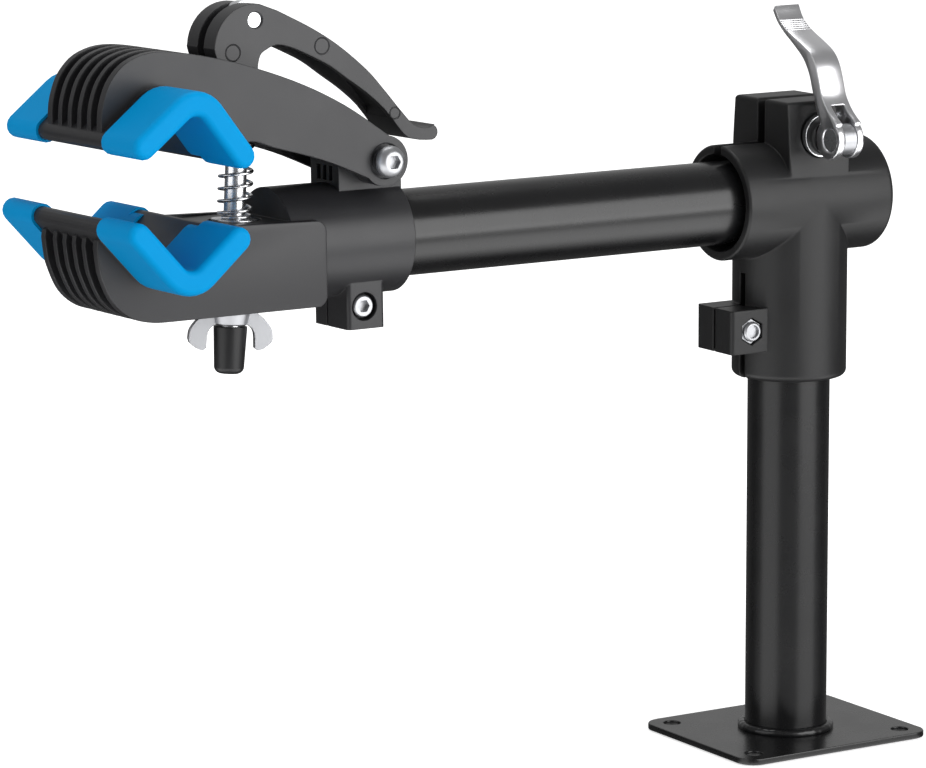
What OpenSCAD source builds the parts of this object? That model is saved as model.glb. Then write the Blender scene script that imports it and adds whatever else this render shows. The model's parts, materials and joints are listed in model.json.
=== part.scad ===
// Bench-mounted bicycle repair clamp: a post on a base plate, a cross arm held
// in a two-way collar, and a clamp head with a cam lever at the arm's end.
// The origin is the middle of the base plate's underside, +Z is up, and the
// arm runs along X with the clamp head towards -X.

/* [Tubes] */
// Outside diameter of the post and of the arm
tube_d = 38.1; // [36:0.1:40]
// Wall of both tubes
tube_wall = 2; // [1.5:0.1:3]
// Height of the arm's axis above the bench
arm_height = 253.8; // [235:1:300]
// Length of the arm
arm_length = 314; // [290:1:340]
// How far the arm's rear end stands out of the collar
arm_rear_overhang = 1; // [0:0.5:5]
// Radial running clearance of the tubes in their sleeves
tube_clearance = 0.1; // [0.05:0.01:0.1]

/* [Base plate] */
// Length of the plate along the arm
plate_length = 104.6; // [98:0.2:120]
// Width of the plate across the arm
plate_width = 87.7; // [82:0.1:100]
// Thickness of the plate
plate_thickness = 3; // [2.5:0.5:5]
// Radius of the plate's corners
plate_corner = 9; // [4:0.5:12]
// Distance between bolt holes along the arm
hole_pitch_x = 83.3; // [76:0.1:86]
// Distance between bolt holes across the arm
hole_pitch_y = 66.7; // [62:0.1:69]
// Diameter of the bolt holes
plate_hole_d = 8; // [6:0.5:9]
// Width of the weld bead round the foot of the post
weld_leg = 3.5; // [2:0.5:5]

/* [Collar] */
// Wall of both collar sleeves
collar_wall = 7.35; // [6:0.05:9]
// Length of the cross sleeve towards the clamp head
collar_front = 41; // [36:0.5:46]
// Length of the cross sleeve towards the rear
collar_rear = 40.5; // [36:0.5:46]
// Height of the lower rim of the upright sleeve
collar_bottom = 171; // [160:1:178]
// Thickness of the web between the post's top and the arm
collar_web = 5; // [3:0.5:8]
// Width of the slot through the top of the cross sleeve
top_slot = 5.6; // [4:0.2:7]
// Thickness of each upper ear
top_ear = 17.7; // [14:0.1:20]
// Length of the upper ears along the arm
top_ear_length = 33.6; // [30:0.1:38]
// Height of the upper ears above the arm's axis
top_ear_rise = 46.2; // [42:0.2:50]
// Gap between the lower ears
side_slot = 1.6; // [1:0.2:4]
// Width of the slot in the upright sleeve
sleeve_slot = 4; // [3:0.2:5]
// Thickness of each lower ear
side_ear = 13.4; // [11:0.1:16]
// Distance that the lower ears reach from the post's axis
side_ear_reach = 42.1; // [40:0.1:46]
// Height of the lower ears
side_ear_height = 20.2; // [17:0.1:24]
// Height of the lower ears' middle above the sleeve's rim
side_ear_rise = 24.4; // [20:0.1:30]

/* [Quick release] */
// Height of the quick-release bolt above the arm's axis
qr_rise = 30.6; // [28:0.1:32]
// Diameter of the quick-release bolt
qr_bolt_d = 6; // [5:0.5:8]
// Diameter of the cross barrel in the lever
barrel_d = 10.6; // [10:0.1:11]
// Radius of the lever's two cam lobes
lobe_r = 9; // [8.5:0.1:9.5]
// Offset of the barrel from the middle of the lobes
lobe_offset = 1.6; // [1:0.1:2]
// Width of the lever
handle_width = 13.6; // [13:0.2:16]
// Thickness of the bolt's eye between the lobes
release_eye = 6.4; // [5.6:0.1:6.8]
// Diameter of the steel cup under the lever
cup_d = 19.4; // [19:0.1:21]

/* [Clamp head] */
// Turn of the clamp head about the arm, as it stands
head_roll = -1.3; // [-5:0.1:5]
// Wall of the head's sleeve
head_wall = 5.85; // [5:0.05:8]
// Length of the head's sleeve
head_sleeve = 60; // [54:0.5:70]
// Half width of the lower jaw
lower_half = 26; // [25:0.1:28]
// Half width of the upper jaw
upper_half = 24.5; // [23:0.1:25.5]
// Thickness of the jaws' side walls
jaw_wall = 4.1; // [3.5:0.1:5]
// Thickness of the V-shaped grip plates
grip_plate = 8.2; // [7.4:0.1:8.6]
// Inner bend radius of the grip plates' middle line
grip_bend = 10; // [8:0.5:12]
// Half length of the pads' outer ends from the middle
pad_half = 60; // [56:0.5:66]
// Length of each pad's sleeve along its grip plate
pad_length = 30; // [26:0.5:32]
// Length of the lip that each pad lays inwards on the gripping side
pad_lip = 9; // [7:0.5:12]
// Thickness of the pads over the plates
pad_wall = 1.2; // [1:0.1:1.6]
// Distance between the ribs of the jaws' noses
rib_pitch = 8.8; // [8:0.1:9.4]
// Thickness of the ribs
rib_thickness = 3.2; // [2.4:0.1:4]
// Half width of the lug that carries the upper jaw
lug_half = 12; // [10:0.5:13]
// Diameter of the pivot bolt
pivot_d = 8; // [7:0.5:9]
// Outside diameter of the steel bush round the pivot bolt
pivot_bush_d = 11; // [10.5:0.1:12]
// Radius of the upper jaw's rounded rear end
pivot_boss_r = 11; // [10.5:0.1:12]

/* [Cam lever and rod] */
// Width of the cam lever
lever_width = 24.5; // [22:0.5:27]
// Width of the lever's slot for the rod's eye
lever_slot = 5.6; // [5:0.1:7]
// Diameter of the cam pin
cam_pin_d = 7; // [6:0.5:8]
// Reach of the cam under its pin when it is shut
cam_reach = 31; // [30:0.1:31.5]
// Turn of the lever from shut to open
lever_turn = 90; // [60:5:95]
// Turn of the upper jaw as the lever opens
jaw_release = 11; // [9:0.5:11.5]
// Tilt of the rod from upright
rod_tilt = 3.8; // [3.4:0.1:4.2]
// Diameter of the rod
rod_d = 9.4; // [8:0.2:10]
// Thickness of the rod's flat eye
eye_thickness = 5; // [4:0.1:5.4]
// Outside diameter of the spring
spring_d = 15.4; // [14:0.1:17]
// Thickness of the spring's wire
spring_wire = 1.4; // [1:0.1:1.8]
// Number of the spring's free curls
spring_turns = 8; // [6:1:9]
// Outside diameter of the washer under the spring
washer_d = 20; // [18:0.5:21]
// Span of the wing nut's wings
wing_span = 37.4; // [34:0.2:44]
// Diameter of the soft cap at the rod's lower end
cap_d = 14.6; // [13.5:0.1:15.5]
// Length of the soft cap
cap_length = 20.5; // [18:0.5:21]

/* [Hidden] */
$fn = 64;

black = [0.08, 0.08, 0.085];
charcoal = [0.2, 0.2, 0.21];
blue = [0.02, 0.5, 0.87];
steel = [0.75, 0.76, 0.78];

cut = 1;
gap = 0.3;
thread_gap = 0.05;
pin_gap = 0.05;
tube_r = tube_d / 2;
bore_r = tube_r + tube_clearance;
collar_r = bore_r + collar_wall;
head_r = bore_r + head_wall;
post_top = arm_height - bore_r - collar_web - gap;
arm_rear = collar_rear + arm_rear_overhang;
arm_front = arm_rear - arm_length;
plug_flange = 2;

// The head's frame has its origin on the arm's axis at the sleeve's open end
head_seat = 4;
head_x = arm_front - head_seat + head_sleeve;
pivot = [-14, 35];
pin = [-69.7, 97.8];

// Curve through a list of points, with each span split in n
function spline_at(a, b, c, d, t) =
  0.5 * (2 * b + (c - a) * t + (2 * a - 5 * b + 4 * c - d) * t * t
    + (3 * b - a - 3 * c + d) * t * t * t);
function spline(p, n = 5) = [
  for (i = [0 : len(p) - 2], k = [0 : n - 1])
    spline_at(p[max(i - 1, 0)], p[i], p[i + 1], p[min(i + 2, len(p) - 1)], k / n),
  p[len(p) - 1]];
function arc(c, r, from, to, n = 8) = [
  for (k = [0 : n]) c + r * [cos(from + (to - from) * k / n), sin(from + (to - from) * k / n)]];

// Extrudes an outline drawn in X and Z from one Y to another
module across(y0, y1) {
  translate([0, y1, 0]) rotate([90, 0, 0]) linear_extrude(y1 - y0) children();
}
// Extrudes an outline drawn in Y and Z from one X to another
module along(x0, x1) {
  translate([x0, 0, 0]) rotate([90, 0, 90]) linear_extrude(x1 - x0) children();
}
// Round bar along X
module rod_x(r, x0, x1) {
  translate([x0, 0, 0]) rotate([0, 90, 0]) cylinder(r = r, h = x1 - x0);
}
// Round bar along Y
module rod_y(r, y0, y1) {
  translate([0, y0, 0]) rotate([-90, 0, 0]) cylinder(r = r, h = y1 - y0);
}
// Block with its upright edges rounded
module soft_block(x, y, z, r) {
  translate([x[0], y[0], z[0]]) linear_extrude(z[1] - z[0]) rounded(x[1] - x[0], y[1] - y[0], r);
}
module rounded(w, h, r) {
  translate([r, 0]) square([w - 2 * r, h]);
  translate([0, r]) square([w, h - 2 * r]);
  for (x = [r, w - r], y = [r, h - r]) translate([x, y]) circle(r);
}
module hexagon(across_flats) {
  circle(r = across_flats / sqrt(3), $fn = 6);
}
module at_head() {
  translate([head_x, 0, arm_height]) rotate([head_roll, 0, 0]) children();
}
module at_pivot() {
  at_head() translate([pivot[0], 0, pivot[1]]) children();
}
module at_pin() {
  at_head() translate([pin[0], 0, pin[1]]) children();
}
// The rod's frame has its origin on the cam pin and +Z up the rod
module on_rod() {
  at_pin() rotate([0, rod_tilt, 0]) children();
}

// Base
hole_places = [for (x = [-1, 1], y = [-1, 1]) [x * hole_pitch_x / 2, y * hole_pitch_y / 2]];
module base_plate() {
  color(black) difference() {
    translate([-plate_length / 2, -plate_width / 2, 0])
      linear_extrude(plate_thickness) rounded(plate_length, plate_width, plate_corner);
    for (p = hole_places)
      translate([p[0], p[1], -cut]) cylinder(d = plate_hole_d, h = plate_thickness + 2 * cut);
  }
}
module post_tube() {
  color(black) translate([0, 0, plate_thickness]) difference() {
    cylinder(r = tube_r, h = post_top - plate_thickness);
    translate([0, 0, -cut]) cylinder(r = tube_r - tube_wall, h = post_top);
  }
}
module post_weld() {
  color(black) translate([0, 0, plate_thickness]) rotate_extrude()
    polygon([[tube_r, 0], [tube_r + weld_leg, 0], [tube_r + 0.45 * weld_leg, 0.45 * weld_leg],
      [tube_r, weld_leg]]);
}

// Collar
ear_y = top_slot / 2 + top_ear;
ear_draft = 3.2;
side_y = side_slot / 2 + side_ear;
side_z = collar_bottom + side_ear_rise;
side_top = side_z + side_ear_height / 2;
collar_bolt_x = -side_ear_reach + 11.2;
clamp_bolt_d = 6;
clamp_head_d = 10;
clamp_nut_af = 10;
slot_top = arm_height - collar_r - 7;
release_z = arm_height + qr_rise;
mouth = 3.4;
module collar_sleeves() {
  rim = 3;
  translate([0, 0, collar_bottom]) rotate_extrude()
    polygon(concat([[0, 0]], arc([collar_r - rim, rim], rim, -90, 0, 6),
      [[collar_r, arm_height - collar_bottom], [0, arm_height - collar_bottom]]));
  translate([0, 0, arm_height]) rotate([0, 90, 0]) rotate_extrude()
    polygon(concat([[0, -collar_front]], [[collar_r - 0.8, -collar_front]],
      [[collar_r, 0.8 - collar_front]], arc([collar_r - rim, collar_rear - rim], rim, 0, 90, 6),
      [[0, collar_rear]]));
}
module collar_ears() {
  low = arm_height + collar_r / 3;
  high = arm_height + top_ear_rise;
  intersection() {
    soft_block([-top_ear_length / 2, top_ear_length / 2], [-ear_y - ear_draft, ear_y + ear_draft],
      [low, high], 2);
    along(-top_ear_length, top_ear_length) polygon([[-ear_y - ear_draft, low], [ear_y + ear_draft, low],
      [ear_y, high], [-ear_y, high]]);
  }
  soft_block([-side_ear_reach, -collar_r / 3], [-side_y, side_y],
    [side_top - side_ear_height, side_top], 2);
}
module collar() {
  color(black) difference() {
    union() {
      collar_sleeves();
      collar_ears();
    }
    translate([0, 0, collar_bottom - cut])
      cylinder(r = bore_r, h = post_top + gap - collar_bottom + cut);
    translate([0, 0, arm_height]) rod_x(bore_r, -collar_front - cut, collar_rear + cut);
    translate([-collar_front, 0, arm_height]) rotate([0, 90, 0])
      cylinder(r1 = bore_r + mouth, r2 = bore_r, h = 2 * mouth);
    translate([collar_rear, 0, arm_height]) rotate([0, -90, 0])
      cylinder(r1 = bore_r + 1, r2 = bore_r, h = 2);
    translate([-collar_front - cut, -top_slot / 2, arm_height])
      cube([collar_front + collar_rear + 2 * cut, top_slot, top_ear_rise + cut]);
    translate([-side_ear_reach - cut, -side_slot / 2, side_top - side_ear_height - cut])
      cube([side_ear_reach, side_slot, side_ear_height + 2 * cut]);
    translate([-collar_r - cut, -sleeve_slot / 2, collar_bottom - cut])
      cube([collar_r, sleeve_slot, side_top - side_ear_height - collar_bottom + 2 * cut]);
    translate([-collar_r - cut, -sleeve_slot / 2, side_top - cut])
      cube([collar_r, sleeve_slot, slot_top - side_top + cut]);
    translate([0, 0, release_z]) {
      rod_y(qr_bolt_d / 2 + pin_gap, -ear_y - 4, ear_y + 4);
      // Flat seats for the cup and the nut
      rod_y(cup_d / 2 + 0.5, -ear_y - 6, -ear_y);
      rod_y(cup_d / 2 + 0.5, ear_y, ear_y + 6);
    }
    translate([collar_bolt_x, 0, side_z]) {
      rod_y(clamp_bolt_d / 2 + pin_gap, -side_y - cut, side_y + cut);
      rod_y(clamp_head_d / 2 + 0.8, side_y - 5, side_y + cut);
      translate([0, 5 - side_y, 0]) rotate([90, 0, 0]) linear_extrude(5 + cut)
        rotate(30) hexagon(clamp_nut_af + 1);
    }
  }
}
// Socket cap screw along +Y, its head's seat at the origin
module cap_screw(shank_d, head_d, length) {
  socket_af = shank_d * 0.83;
  difference() {
    union() {
      rod_y(shank_d / 2, -length, 0.1);
      rotate([-90, 0, 0]) rotate_extrude()
        polygon([[0, 0], [head_d / 2, 0], [head_d / 2, shank_d - 0.8],
          [head_d / 2 - 0.8, shank_d], [0, shank_d]]);
    }
    translate([0, shank_d + cut, 0]) rotate([90, 0, 0])
      linear_extrude(shank_d / 2 + cut) hexagon(socket_af);
  }
}
// Locking nut with a round collar, its seat at the origin and facing -Y
module lock_nut(thread_d, across_flats) {
  difference() {
    union() {
      rotate([90, 0, 0]) linear_extrude(thread_d * 0.62) rotate(30) hexagon(across_flats);
      rotate([90, 0, 0]) rotate_extrude()
        polygon([[0, 0], [across_flats * 0.46, 0], [across_flats * 0.46, thread_d * 0.85],
          [across_flats * 0.38, thread_d], [0, thread_d]]);
    }
    rod_y(thread_d / 2 + thread_gap, -thread_d - cut, cut);
  }
}
module collar_bolt() {
  color(steel) translate([collar_bolt_x, side_y - 5, side_z])
    cap_screw(clamp_bolt_d, clamp_head_d, 2 * side_y - 5 - 0.5);
}
module collar_nut() {
  color(steel) translate([collar_bolt_x, 5 - side_y, side_z]) lock_nut(clamp_bolt_d, clamp_nut_af);
}

// Quick release
barrel_y = -ear_y - 19;
lobe_y = barrel_y + lobe_offset;
seat_y = lobe_y + lobe_r + gap;
seat_r = 14;
eye_ring_r = 7;
fork_slot = release_eye + 2 * 0.4;
fork_top = 15;
cup_depth = 4.6;
cup_floor = 1.2;
saddle_r = 8.8;
// Side outline of the handle, from the fork's rear over the tip to its front,
// in Y and Z from the barrel
handle_rear = [[7.6, 6], [11.6, 15.2], [14.2, 21.4], [16.8, 28.5], [21.4, 35], [28.2, 40.2],
  [36.4, 45.6], [41.6, 50], [45.2, 55]];
handle_front = [[43.6, 57.4], [40, 51.6], [34, 47], [24.1, 42.4], [16.4, 38.4], [11.8, 33.4],
  [8.8, 26.4], [6.2, 19], [1.2, 12.6], [-5.4, 7.6]];
module release_lever() {
  color(steel) translate([0, barrel_y, release_z]) difference() {
    along(-handle_width / 2, handle_width / 2) {
      translate([lobe_offset, 0]) circle(lobe_r);
      polygon(concat([[1.4, 0]], spline(handle_rear, 4), spline(handle_front, 4)));
    }
    translate([-fork_slot / 2, -20, -20]) cube([fork_slot, 60, 20 + fork_top]);
    rod_x(barrel_d / 2 + pin_gap, -handle_width, handle_width);
  }
}
module release_barrel() {
  color(steel) translate([0, barrel_y, release_z])
    rod_x(barrel_d / 2, 0.2 - handle_width / 2, handle_width / 2 - 0.2);
}
module release_bolt() {
  color(steel) translate([0, 0, release_z]) difference() {
    union() {
      rod_y(qr_bolt_d / 2, barrel_y, ear_y + qr_bolt_d + 1.5);
      translate([0, barrel_y, 0]) rod_x(eye_ring_r, -release_eye / 2, release_eye / 2);
    }
    translate([0, barrel_y, 0]) rod_x(barrel_d / 2 + pin_gap, -release_eye, release_eye);
  }
}
module release_nut() {
  color(steel) translate([0, ear_y, release_z]) mirror([0, 1, 0]) lock_nut(qr_bolt_d, 10);
}
module release_cup() {
  color(steel) translate([0, -ear_y, release_z]) rotate([90, 0, 0]) rotate_extrude()
    polygon([[qr_bolt_d / 2 + pin_gap, 0], [cup_d / 2 - 1.2, 0], [cup_d / 2, 1.6],
      [cup_d / 2, cup_depth], [saddle_r + pin_gap, cup_depth], [saddle_r + pin_gap, cup_floor],
      [qr_bolt_d / 2 + pin_gap, cup_floor]]);
}
module release_saddle() {
  color(black) translate([0, 0, release_z]) difference() {
    rod_y(saddle_r, -ear_y - 9.9, -ear_y - cup_floor);
    rod_y(qr_bolt_d / 2 + pin_gap, -80, 0);
    translate([0, seat_y - seat_r, 0]) rod_x(seat_r, -cup_d, cup_d);
  }
}

// Arm
module arm_tube() {
  color(black) translate([0, 0, arm_height]) difference() {
    rod_x(tube_r, arm_front, arm_rear);
    rod_x(tube_r - tube_wall, arm_front - cut, arm_rear + cut);
  }
}
module arm_plug() {
  stem = 14;
  color(black) translate([arm_rear, 0, arm_height]) rotate([0, 90, 0]) rotate_extrude()
    polygon([[0, plug_flange], [tube_r - 2.5, plug_flange], [tube_r - 0.3, plug_flange - 1],
      [tube_r - 0.3, 0], [tube_r - tube_wall, 0], [tube_r - tube_wall, -stem + 2],
      [tube_r - tube_wall - 1, -stem], [tube_r - tube_wall - 3, -stem],
      [tube_r - tube_wall - 3, -2], [0, -2]]);
}

// V-shaped section with rounded ends. The legs leave the apex at two angles,
// and the middle line bends at the apex with the given radius
module v_section(apex, angles, lengths, thickness, bend) {
  r = thickness / 2;
  half = (angles[1] - angles[0]) / 2;
  middle = (angles[1] + angles[0]) / 2;
  centre = apex + bend / sin(half) * [cos(middle), sin(middle)];
  tips = [for (i = [0, 1]) apex + (lengths[i] - r) * [cos(angles[i]), sin(angles[i])]];
  polygon(concat(arc(tips[0], r, angles[0] - 90, angles[0] + 90),
    arc(centre, bend - r, angles[0] - 90, angles[1] - 270),
    arc(tips[1], r, angles[1] - 90, angles[1] + 90),
    arc(centre, bend + r, angles[1] - 270, angles[0] - 90)));
}
// Rubber pad: a sleeve with a closed outer end round one end of a grip plate,
// and a lip that runs inwards on the plate's gripping side
module pad(apex, angles, lengths, side) {
  full = grip_plate + 2 * pad_wall;
  fit = grip_plate + 2 * pin_gap;
  long = [lengths[0] + pad_wall, lengths[1] + pad_wall];
  hold = [lengths[0] + pin_gap, lengths[1] + pin_gap];
  legs = [for (a = angles) 3 * lengths[0] * [cos(a), sin(a)]];
  inwards = (legs[0] + legs[1]) / norm(legs[0] + legs[1]);
  mirror([0, side > 0 ? 0 : 1, 0]) {
    difference() {
      across(pad_half - pad_length, pad_half) v_section(apex, angles, long, full, grip_bend);
      across(0, plate_half + pin_gap) v_section(apex, angles, hold, fit, grip_bend);
    }
    across(pad_half - pad_length - pad_lip, pad_half - pad_length + cut) difference() {
      v_section(apex, angles, lengths - [2, 2], full, grip_bend);
      v_section(apex, angles, 2 * lengths, fit, grip_bend);
      translate(apex + inwards) polygon([legs[0], [0, 0], legs[1], legs[1] - 300 * inwards,
        legs[0] - 300 * inwards]);
    }
  }
}
plate_half = pad_half - pad_wall - pin_gap;

// Lower jaw and sleeve, in the head's frame
lower_apex = [-128.5, -8.7];
lower_angles = [41, 132];
lower_lengths = [35.3, 38.5];
lower_front = [[-154.6, 8.7], [-154, 3], [-152.6, -4], [-147.6, -14.8], [-139.4, -21.8],
  [-129.4, -24.6], [-119.5, -25]];
lower_floor = -25;
lower_deck = 12.1;
wall_end = -44.8;
sleeve_front = -head_sleeve;
module lower_side() {
  corner = 5;
  polygon(concat(spline(lower_front, 5), arc([wall_end - corner, lower_floor + corner], corner, -90, 0),
    arc([wall_end - corner, lower_deck - corner], corner, 0, 90), [[-98, lower_deck + 1.4],
    [-101, 12], lower_apex, [-150, 14], [-154, 12]]));
}
rib_places = [for (k = [-1.5 : 1 : 1.5]) k * rib_pitch];
deck_thickness = 6;
rod_hole_r = rod_d / 2 + 0.8;
ear_bottom = -37.8;
head_bolt = [-22.2, -28];
near_ear = 18;
far_ear = 11;
head_slot = 1.2;
lug_front = -30.4;
lug_rear = 0.8;
nose_back = -99;
module head_jaw() {
  for (s = [-1, 1]) across(s > 0 ? lower_half - jaw_wall : -lower_half, s > 0 ? lower_half : jaw_wall - lower_half)
    lower_side();
  across(-plate_half, plate_half)
    v_section(lower_apex, lower_angles, lower_lengths, grip_plate, grip_bend);
  for (y = rib_places) across(y - rib_thickness / 2, y + rib_thickness / 2) intersection() {
    lower_side();
    translate([-160, -40]) square([160 + nose_back, 80]);
  }
  // Deck under the spring, web over the wing nut and the wall between them
  translate([-98, 0.5 - lower_half, lower_deck - deck_thickness])
    cube([98 + sleeve_front + 5, 2 * lower_half - 1, deck_thickness]);
  translate([-98, 0.5 - lower_half, lower_floor])
    cube([98 + wall_end - 3, 2 * lower_half - 1, deck_thickness]);
  translate([nose_back - 1.5, 0.5 - lower_half, lower_floor + 2])
    cube([3, 2 * lower_half - 1, lower_deck - lower_floor - 2]);
}
module head_lug() {
  across(-lug_half, lug_half) {
    translate([lug_front, 10]) square([lug_rear - lug_front, pivot[1] - 10]);
    translate([lug_front, pivot[1]]) square([pivot[0] - lug_front, 2]);
    translate(pivot) circle(pivot_boss_r - gap);
    translate([pivot[0], pivot[1] - 6]) square([pivot_boss_r, 6]);
  }
}
module head_body() {
  color(charcoal) at_head() difference() {
    union() {
      rod_x(head_r, sleeve_front, 0);
      head_jaw();
      head_lug();
      soft_block([lug_front, -12], [-near_ear, head_slot / 2 + far_ear], [ear_bottom, -head_r / 2], 2);
    }
    rod_x(bore_r, sleeve_front + head_seat - gap, cut);
    translate([sleeve_front + head_seat + 20, -head_slot / 2, ear_bottom - cut])
      cube([head_sleeve, head_slot, -ear_bottom]);
    // Hollows between the four ribs of the lug's front
    for (k = [-1 : 1]) translate([lug_front - cut, k * 5 - 1.6, head_r + 1])
      cube([9, 3.2, pivot[1] - head_r - 3.5]);
    translate([pivot[0], 0, pivot[1]]) {
      rod_y(pivot_bush_d / 2 + pin_gap, -lug_half - cut, lug_half + cut);
      // Room for the upper jaw's rear end
      for (s = [-1, 1]) translate([0, s * (lug_half + 10 + gap), 0]) rotate([90, 0, 0])
        cylinder(r = pivot_boss_r + 1, h = 20, center = true);
    }
    translate([head_bolt[0], 0, head_bolt[1]]) {
      rod_y(clamp_bolt_d / 2 + pin_gap, -near_ear - cut, far_ear + 2);
      rod_y(clamp_head_d / 2 + 1.2, -near_ear - cut, 6.5 - near_ear);
      translate([0, head_slot / 2 + far_ear + cut, 0]) rotate([90, 0, 0]) linear_extrude(5 + cut)
        rotate(30) hexagon(clamp_nut_af + 0.4);
    }
    // Rod's hole with its flat seats
    translate([pin[0], 0, pin[1]]) rotate([0, rod_tilt, 0]) {
      translate([0, 0, -150]) cylinder(r = rod_hole_r, h = 100);
      translate([0, 0, -deck_depth]) cylinder(r = washer_d / 2 + 1.5, h = 10);
      translate([0, 0, -web_depth - 10]) cylinder(r = washer_d / 2 + 1.5, h = 10);
    }
  }
}
// Depths below the cam pin, along the rod
deck_depth = (pin[1] - lower_deck) / cos(rod_tilt) + 1.2;
web_depth = (pin[1] - lower_floor) / cos(rod_tilt) - 1.2;
module head_bolt() {
  color(steel) at_head() translate([head_bolt[0], 6.5 - near_ear, head_bolt[1]])
    mirror([0, 1, 0]) cap_screw(clamp_bolt_d, clamp_head_d, near_ear + far_ear - 6.5);
}
module head_nut() {
  color(steel) at_head() translate([head_bolt[0], head_slot / 2 + far_ear - 5, head_bolt[1]])
    mirror([0, 1, 0]) lock_nut(clamp_bolt_d, clamp_nut_af);
}
module lower_pad_near() {
  color(blue) at_head() pad(lower_apex, lower_angles, lower_lengths, -1);
}
module lower_pad_far() {
  color(blue) at_head() pad(lower_apex, lower_angles, lower_lengths, 1);
}

// Upper jaw, in the pivot's frame
upper_apex = [-108.5, 38.6];
upper_angles = [218.7, 306.7];
upper_lengths = [37, 38.2];
upper_top = [[2.1, 10.7], [-20, 25.5], [-45, 37.5], [-75, 47.4], [-105, 53.3], [-121.3, 51],
  [-131, 43], [-135.6, 32], [-136.5, 22]];
upper_bottom = [[-84, 11], [-65.6, 13], [-55, 9.7], [-37, 4.6], [-23.3, -0.3], [-6, -8]];
module upper_side() {
  polygon(concat(spline(upper_top, 5), [[-134, 15], upper_apex], spline(upper_bottom, 3), [[0, 0]]));
  circle(pivot_boss_r);
}
// Saddle plane below the cam pin, in the rod's direction
saddle_depth = cam_reach + gap;
saddle_thickness = 6;
rod_in_pivot = pin - pivot;
module upper_jaw() {
  inner = upper_half - jaw_wall;
  color(charcoal) at_pivot() difference() {
    union() {
      for (s = [-1, 1]) across(s > 0 ? inner : -upper_half, s > 0 ? upper_half : -inner) upper_side();
      across(-plate_half, plate_half)
        v_section(upper_apex, upper_angles, upper_lengths, grip_plate, grip_bend);
      for (y = rib_places) across(y - rib_thickness / 2, y + rib_thickness / 2) intersection() {
        upper_side();
        translate([-140, 0]) square([60, 60]);
      }
      // Saddle under the cam, with its front and rear walls, and the rear skin
      across(-inner - 0.5, inner + 0.5) intersection() {
        upper_side();
        union() {
          translate(rod_in_pivot) rotate(-rod_tilt)
            translate([-26, -saddle_depth - saddle_thickness]) square([60, saddle_thickness]);
          translate([-82.5, 0]) square([2.5, 60]);
          difference() {
            translate([-26, -10]) square([40, 60]);
            translate([1, -3.2]) upper_side();
          }
        }
      }
      // Bosses beside the lug
      for (s = [-1, 1]) across(s > 0 ? lug_half + gap : -inner - 0.5, s > 0 ? inner + 0.5 : -lug_half - gap)
        circle(pivot_boss_r - 0.3);
    }
    // Room for the lug between the bosses
    across(-lug_half - gap, lug_half + gap) {
      circle(pivot_boss_r + 0.6);
      translate([-22, -40]) square([50, 40]);
    }
    rod_y(pivot_bush_d / 2 + pin_gap, -upper_half - cut, upper_half + cut);
    rod_y(7.7, -upper_half - cut, -upper_half + 2);
    rod_y(nut_pocket_d / 2, upper_half - nut_depth, upper_half + cut);
    // Slot for the rod through the saddle
    translate([rod_in_pivot[0], 0, rod_in_pivot[1]]) rotate([0, rod_tilt, 0])
      soft_block([-12, 12], [-5.6, 5.6], [-60, -saddle_depth + cut], 5.5);
  }
}
module upper_pad_near() {
  color(blue) at_pivot() pad(upper_apex, upper_angles, upper_lengths, -1);
}
module upper_pad_far() {
  color(blue) at_pivot() pad(upper_apex, upper_angles, upper_lengths, 1);
}
nut_depth = 6;
pivot_nut_af = 13;
nut_pocket_d = pivot_nut_af / cos(30) + 0.8;
head_stand = 2.8;
module pivot_bolt() {
  dome = 4.4;
  seat = -upper_half - head_stand;
  color(steel) at_pivot() difference() {
    union() {
      rod_y(pivot_d / 2, seat - 0.1, upper_half - 0.5);
      translate([0, seat, 0]) rotate([90, 0, 0]) rotate_extrude()
        polygon(concat([[0, 0], [7, 0]], spline([[7, 0.8], [6.3, 2.7], [4.7, dome - 0.3], [3.8, dome]], 3),
          [[0, dome]]));
    }
    translate([0, seat - dome - cut, 0]) rotate([-90, 0, 0]) linear_extrude(3 + cut) hexagon(5.4);
  }
}
module pivot_bush() {
  color(steel) at_pivot() difference() {
    rod_y(pivot_bush_d / 2, -upper_half - head_stand, upper_half - nut_depth);
    rod_y(pivot_d / 2 + pin_gap, -2 * upper_half, 2 * upper_half);
  }
}
module pivot_nut() {
  color(steel) at_pivot() translate([0, upper_half - nut_depth, 0]) mirror([0, 1, 0]) difference() {
    rotate([90, 0, 0]) linear_extrude(5.5) rotate(30) hexagon(pivot_nut_af);
    rod_y(pivot_d / 2 + thread_gap, -10, 10);
  }
}

// Cam lever, in the pin's frame. The cam's reach falls evenly as it turns, so
// that the jaw's turn follows the lever's
release_ratio = jaw_release / lever_turn;
function normal_at(turn) = [sin(rod_tilt + turn), cos(rod_tilt + turn)];
function dot(a, b) = a[0] * b[0] + a[1] * b[1];
function reach_at(turn) = cam_reach - dot(rod_in_pivot, normal_at(0) - normal_at(turn));
function cam_reach_at(d) = reach_at(d * release_ratio / (1 + release_ratio));
function cam_slope_at(d) = (cam_reach_at(d + 0.5) - cam_reach_at(d - 0.5)) * 180 / PI;
function cam_point(d) = let (a = -90 - rod_tilt - d)
  cam_reach_at(d) * [cos(a), sin(a)] - cam_slope_at(d) * [-sin(a), cos(a)];
cam_steps = 20;
cam_end = 76;
cam_edge = [for (k = [0 : cam_steps]) cam_point(cam_end * k / cam_steps)];
lobe = [-1, -12];
lever_lobe_r = 19;
lever_top = [[10.6, 3.6], [26.6, -4.4], [40.3, -12.9], [54.1, -24.1],
  [63, -33.7], [71.5, -43.6], [77.4, -49.5], [83.6, -51.4], [87.9, -50]];
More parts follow.
